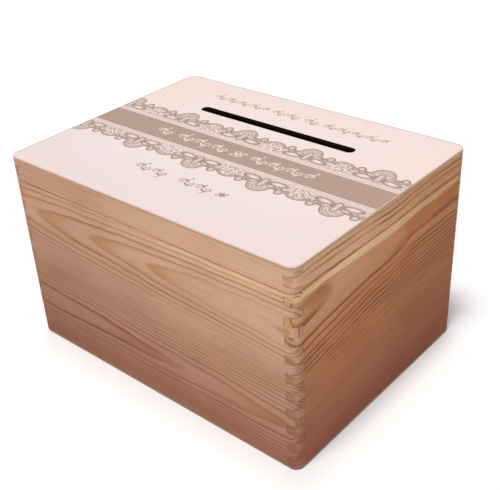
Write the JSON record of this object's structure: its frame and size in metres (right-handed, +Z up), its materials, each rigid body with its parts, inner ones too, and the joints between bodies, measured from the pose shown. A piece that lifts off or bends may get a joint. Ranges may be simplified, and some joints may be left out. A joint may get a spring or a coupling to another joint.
{
  "type": "wedding card box",
  "caption": "Finger-jointed pine box with a hinged lid, a long card slot through the lid, and a printed lace and ribbon pattern on top.",
  "frame": {"origin": "centre of the bottom panel's underside, the face that the box stands on", "axes": "+Z up; +X along the long side; -Y towards the front, +Y towards the hinged back"},
  "size_m": [0.4, 0.3049, 0.2403],
  "materials": {
    "pine_body": "warm brown pine with ochre growth lines, oiled satin",
    "pine_lid": "warm light brown pine with straight growth lines, oiled satin",
    "plywood": "sanded thin plywood, matt",
    "print_film": "pale rose printed film with taupe lace bands, satin",
    "hinge_brass": "stamped brass, satin",
    "hinge_pin_steel": "drawn wire, satin",
    "screw_brass": "turned brass, bright"
  },
  "bodies": {
    "box": {"bottom_panel": "plywood", "front_wall": "pine_body", "back_wall": "pine_body", "left_wall": "pine_body", "right_wall": "pine_body", "hinge_left_body_leaf": "hinge_brass", "hinge_left_pin": "hinge_pin_steel", "hinge_left_body_screw_1": "screw_brass", "hinge_left_body_screw_2": "screw_brass", "hinge_right_body_leaf": "hinge_brass", "hinge_right_pin": "hinge_pin_steel", "hinge_right_body_screw_1": "screw_brass", "hinge_right_body_screw_2": "screw_brass"},
    "lid": {"lid_front_rail": "pine_lid", "lid_back_rail": "pine_lid", "lid_left_rail": "pine_lid", "lid_right_rail": "pine_lid", "lid_top_panel": "plywood", "lid_print_film": "print_film", "hinge_left_lid_leaf": "hinge_brass", "hinge_left_lid_screw_1": "screw_brass", "hinge_left_lid_screw_2": "screw_brass", "hinge_right_lid_leaf": "hinge_brass", "hinge_right_lid_screw_1": "screw_brass", "hinge_right_lid_screw_2": "screw_brass"}
  },
  "joints": [
    {"name": "lid_hinge", "type": "hinge", "parent": "box", "child": "lid", "pos_m": [0, 0.1525, 0.212], "axis": [-1, 0, 0], "range_deg": [0, 180]}
  ]
}
